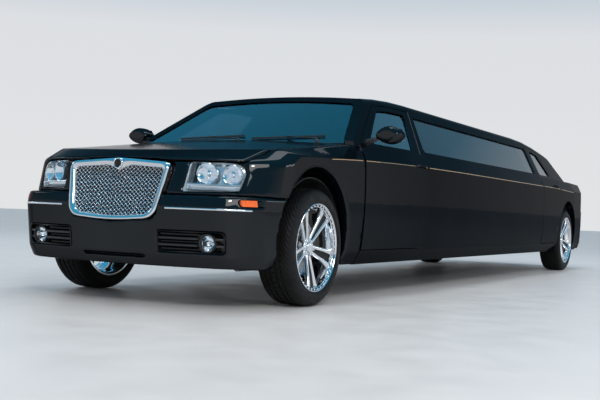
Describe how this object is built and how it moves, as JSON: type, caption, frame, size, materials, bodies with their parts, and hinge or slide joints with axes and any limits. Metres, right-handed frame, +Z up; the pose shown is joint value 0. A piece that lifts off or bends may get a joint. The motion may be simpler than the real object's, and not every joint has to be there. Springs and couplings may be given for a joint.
{
  "type": "stretch limousine",
  "caption": "Long-wheelbase black stretch limousine with opening doors, hood and boot lid, steered front wheels and a hollow lounge cabin.",
  "frame": {"origin": "on the ground under the centre of the vehicle's outer box", "axes": "+X points forwards along the body, +Y to the vehicle's left, +Z up"},
  "size_m": [8.555, 2.3, 1.5],
  "materials": {
    "paint": "deep gloss black lacquer",
    "tinted_glass": "lightly tinted, polished",
    "privacy_glass": "dark privacy tint, polished",
    "bright_chrome": "polished",
    "clear_lens": "clear moulded lens",
    "red_lens": "gloss red lens",
    "amber_lens": "gloss amber lens",
    "tyre_rubber": "matt black rubber",
    "cast_part": "dark cast surface",
    "steel": "dull steel",
    "bare_aluminium": "cast and finned aluminium",
    "underseal": "matt black underseal",
    "black_plastic": "grained black plastic",
    "leather_trim": "black grained leather",
    "dark_wood": "dark polished veneer"
  },
  "bodies": {
    "body": {"underbody": "underseal", "body_sides": "paint", "roof_panel": "paint", "front_fenders": "paint", "front_bumper": "paint", "rear_bumper": "paint", "side_markers": "amber_lens", "stretch_glass": "privacy_glass", "windscreen": "tinted_glass", "backlight": "privacy_glass", "grille": "bright_chrome", "radiator": "bare_aluminium", "headlamps": "clear_lens", "fog_lamps": "clear_lens", "tail_lamps": "red_lens", "front_subframe": "cast_part", "rear_axle": "cast_part", "driveshaft": "steel", "exhaust": "steel", "engine": "bare_aluminium", "fuel_tank": "black_plastic", "dashboard": "black_plastic", "front_seats": "leather_trim", "lounge_seats": "leather_trim", "bar_console": "dark_wood"},
    "door_front_left": {"front_door_left": "paint", "front_door_glass_left": "tinted_glass", "mirror_left": "paint"},
    "door_rear_left": {"rear_door_left": "paint", "rear_door_glass_left": "privacy_glass"},
    "upright_left": {"knuckle_left": "cast_part"},
    "roller_front_left": {"wheel_front_left": "bright_chrome", "tyre_front_left": "tyre_rubber"},
    "roller_rear_left": {"wheel_rear_left": "bright_chrome", "tyre_rear_left": "tyre_rubber"},
    "door_front_right": {"front_door_right": "paint", "front_door_glass_right": "tinted_glass", "mirror_right": "paint"},
    "door_rear_right": {"rear_door_right": "paint", "rear_door_glass_right": "privacy_glass"},
    "upright_right": {"knuckle_right": "cast_part"},
    "roller_front_right": {"wheel_front_right": "bright_chrome", "tyre_front_right": "tyre_rubber"},
    "roller_rear_right": {"wheel_rear_right": "bright_chrome", "tyre_rear_right": "tyre_rubber"},
    "bonnet": {"hood": "paint"},
    "boot": {"boot_lid": "paint"},
    "steering": {"steering_wheel": "leather_trim"}
  },
  "joints": [
    {"name": "steer_left", "type": "hinge", "parent": "body", "child": "upright_left", "pos_m": [3.3925, 0.72, 0.364], "axis": [0, 0, 1], "range_deg": [-33, 33]},
    {"name": "spin_front_left", "type": "hinge", "parent": "upright_left", "child": "roller_front_left", "pos_m": [3.3925, 0.8, 0.364], "axis": [0, 1, 0], "continuous": true},
    {"name": "spin_rear_left", "type": "hinge", "parent": "body", "child": "roller_rear_left", "pos_m": [-3.2115, 0.8, 0.364], "axis": [0, 1, 0], "continuous": true},
    {"name": "open_front_left", "type": "hinge", "parent": "body", "child": "door_front_left", "pos_m": [2.7845, 0.905, 0.665], "axis": [0, 0, -1], "range_deg": [0, 68]},
    {"name": "open_rear_left", "type": "hinge", "parent": "body", "child": "door_rear_left", "pos_m": [-1.9925, 0.905, 0.665], "axis": [0, 0, -1], "range_deg": [0, 66]},
    {"name": "steer_right", "type": "hinge", "parent": "body", "child": "upright_right", "pos_m": [3.3925, -0.72, 0.364], "axis": [0, 0, 1], "range_deg": [-33, 33]},
    {"name": "spin_front_right", "type": "hinge", "parent": "upright_right", "child": "roller_front_right", "pos_m": [3.3925, -0.8, 0.364], "axis": [0, 1, 0], "continuous": true},
    {"name": "spin_rear_right", "type": "hinge", "parent": "body", "child": "roller_rear_right", "pos_m": [-3.2115, -0.8, 0.364], "axis": [0, 1, 0], "continuous": true},
    {"name": "open_front_right", "type": "hinge", "parent": "body", "child": "door_front_right", "pos_m": [2.7845, -0.905, 0.665], "axis": [0, 0, 1], "range_deg": [0, 68]},
    {"name": "open_rear_right", "type": "hinge", "parent": "body", "child": "door_rear_right", "pos_m": [-1.9925, -0.905, 0.665], "axis": [0, 0, 1], "range_deg": [0, 66]},
    {"name": "open_bonnet", "type": "hinge", "parent": "body", "child": "bonnet", "pos_m": [2.9425, 0, 1.04], "axis": [0, -1, 0], "range_deg": [0, 55]},
    {"name": "open_boot", "type": "hinge", "parent": "body", "child": "boot", "pos_m": [-3.4525, 0, 1.098], "axis": [0, 1, 0], "range_deg": [0, 75]},
    {"name": "turn_steering_wheel", "type": "hinge", "parent": "body", "child": "steering", "pos_m": [2.2425, 0.38, 0.905], "axis": [-0.9135, 0, 0.4067], "range_deg": [-528, 528]}
  ],
  "couplings": [
    {"joint": "steer_right", "follows": "steer_left", "ratio": 1},
    {"joint": "turn_steering_wheel", "follows": "steer_left", "ratio": 16}
  ]
}
